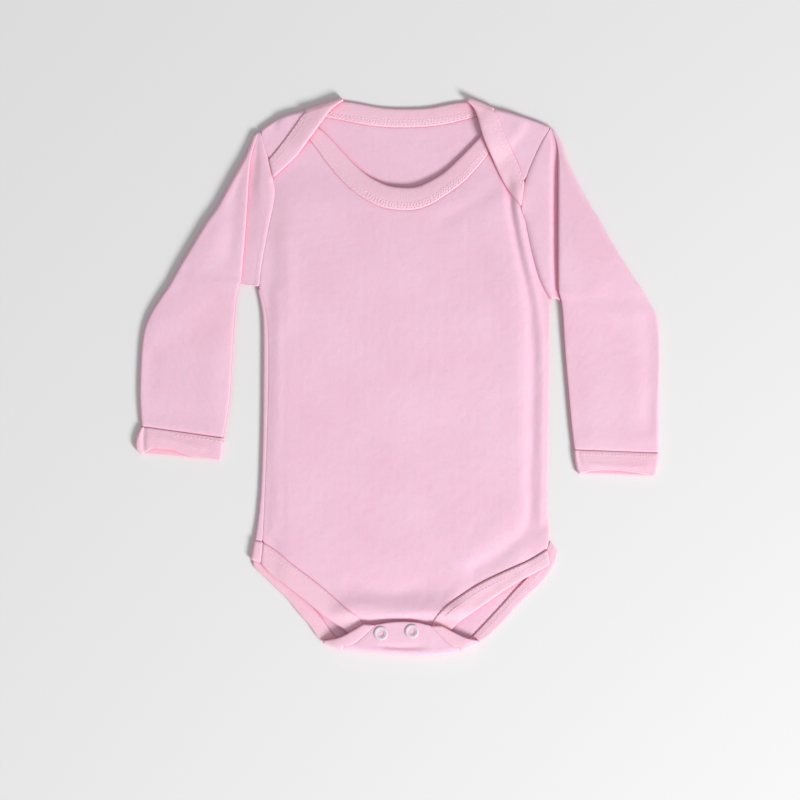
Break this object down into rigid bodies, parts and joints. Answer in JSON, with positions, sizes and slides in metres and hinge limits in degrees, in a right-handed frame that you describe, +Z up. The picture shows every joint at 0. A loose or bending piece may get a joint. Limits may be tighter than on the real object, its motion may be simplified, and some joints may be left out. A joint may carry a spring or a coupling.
{
  "type": "long-sleeved baby bodysuit laid flat",
  "caption": "Baby onesie in pink interlock, laid flat: lap shoulders, bound neck, long sleeves with cuffs, bound legs and a snapped crotch flap.",
  "frame": {"origin": "on the flat underside of the back, in the middle of the body's width, 26 mm above the middle of the side seams", "axes": "+X to the right as seen from above, +Y from the crotch towards the neck, +Z up out of the garment's front"},
  "size_m": [0.3681, 0.3919, 0.0082],
  "materials": {
    "body_cloth": "soft pink cotton interlock",
    "sleeve_cloth": "soft pink cotton interlock",
    "binding": "soft pink cotton rib with twin-needle stitching",
    "snap": "white satin"
  },
  "bodies": {
    "root": {"back_panel": "body_cloth", "front_panel": "body_cloth", "sleeve_left": "sleeve_cloth", "sleeve_right": "sleeve_cloth", "back_neck_binding": "binding", "front_neck_binding": "binding", "cuff_left": "binding", "cuff_right": "binding", "leg_binding_back_left": "binding", "leg_binding_back_right": "binding", "leg_binding_front_left": "binding", "leg_binding_front_right": "binding", "snap_left_ring": "snap", "snap_left_socket": "snap", "snap_left_stud": "snap", "snap_left_post": "snap", "snap_right_ring": "snap", "snap_right_socket": "snap", "snap_right_stud": "snap", "snap_right_post": "snap"}
  },
  "joints": []
}
